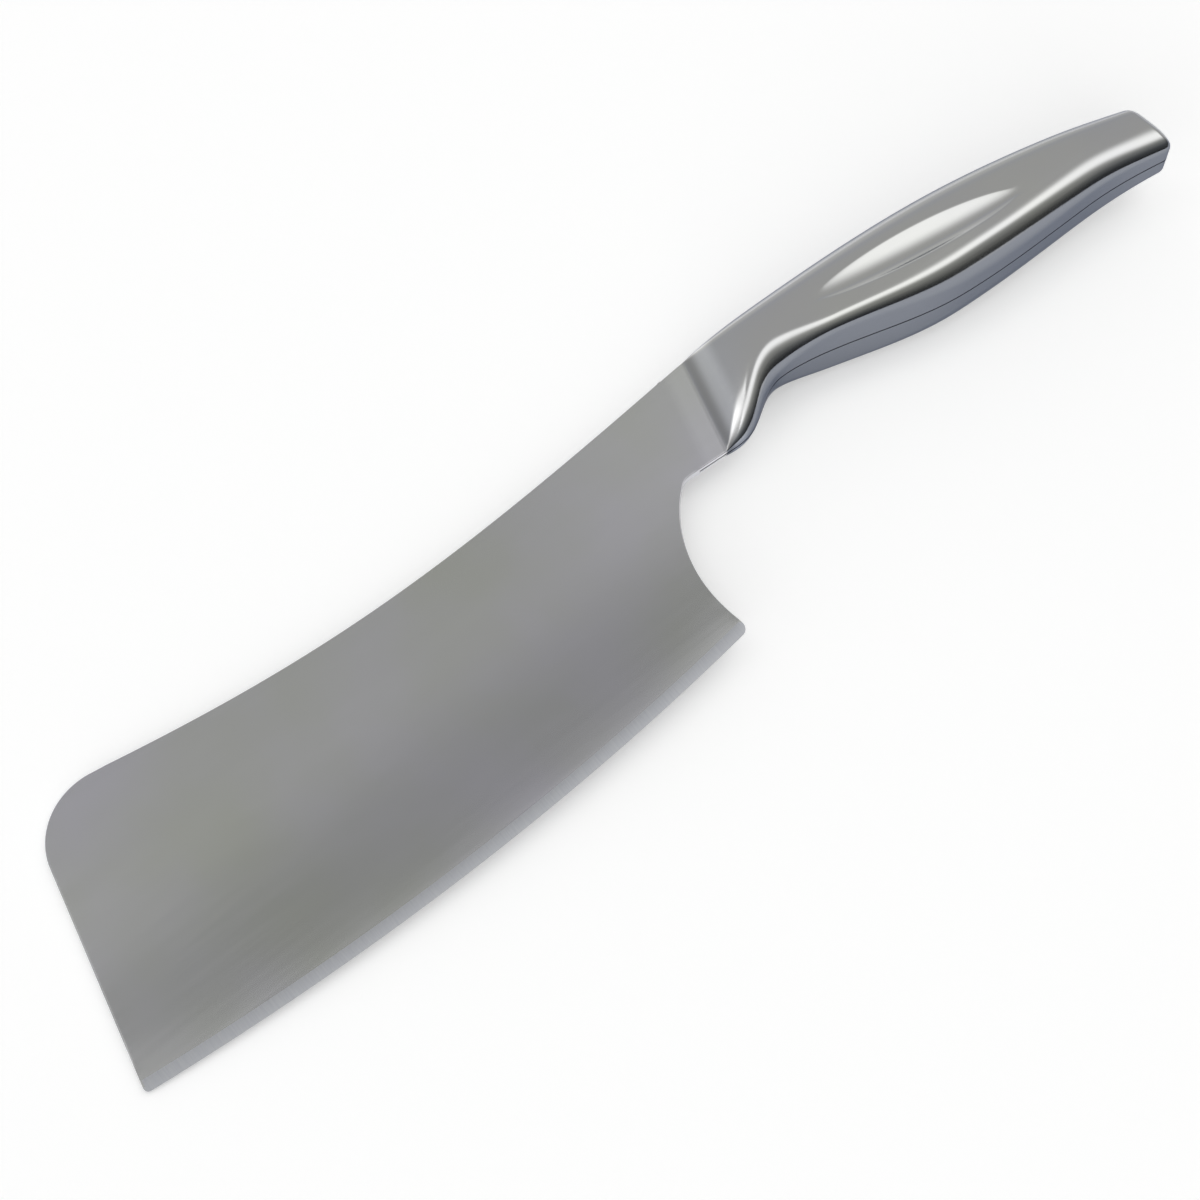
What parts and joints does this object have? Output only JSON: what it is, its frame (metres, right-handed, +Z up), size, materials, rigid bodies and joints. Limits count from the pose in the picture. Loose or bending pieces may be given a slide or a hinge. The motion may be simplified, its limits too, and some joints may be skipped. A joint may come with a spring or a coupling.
{
  "type": "chinese cleaver",
  "caption": "All-steel vegetable cleaver with a broad, thin blade and a hollow pressed and welded handle, lying on its side.",
  "frame": {"origin": "middle of the knife's bounding box, on the surface that it lies on", "axes": "+X along the cutting edge from the nose to the butt, +Y from the cutting edge to the spine, +Z up from the surface; the knife lies on its right side"},
  "size_m": [0.2962, 0.0626, 0.0216],
  "materials": {
    "blade_steel": "fine satin, brushed",
    "handle_steel": "polished",
    "weld_steel": "ground flush"
  },
  "bodies": {
    "root": {"blade": "blade_steel", "left_handle_shell": "handle_steel", "right_handle_shell": "handle_steel", "handle_seam_weld": "weld_steel", "neck_weld": "weld_steel"}
  },
  "joints": []
}
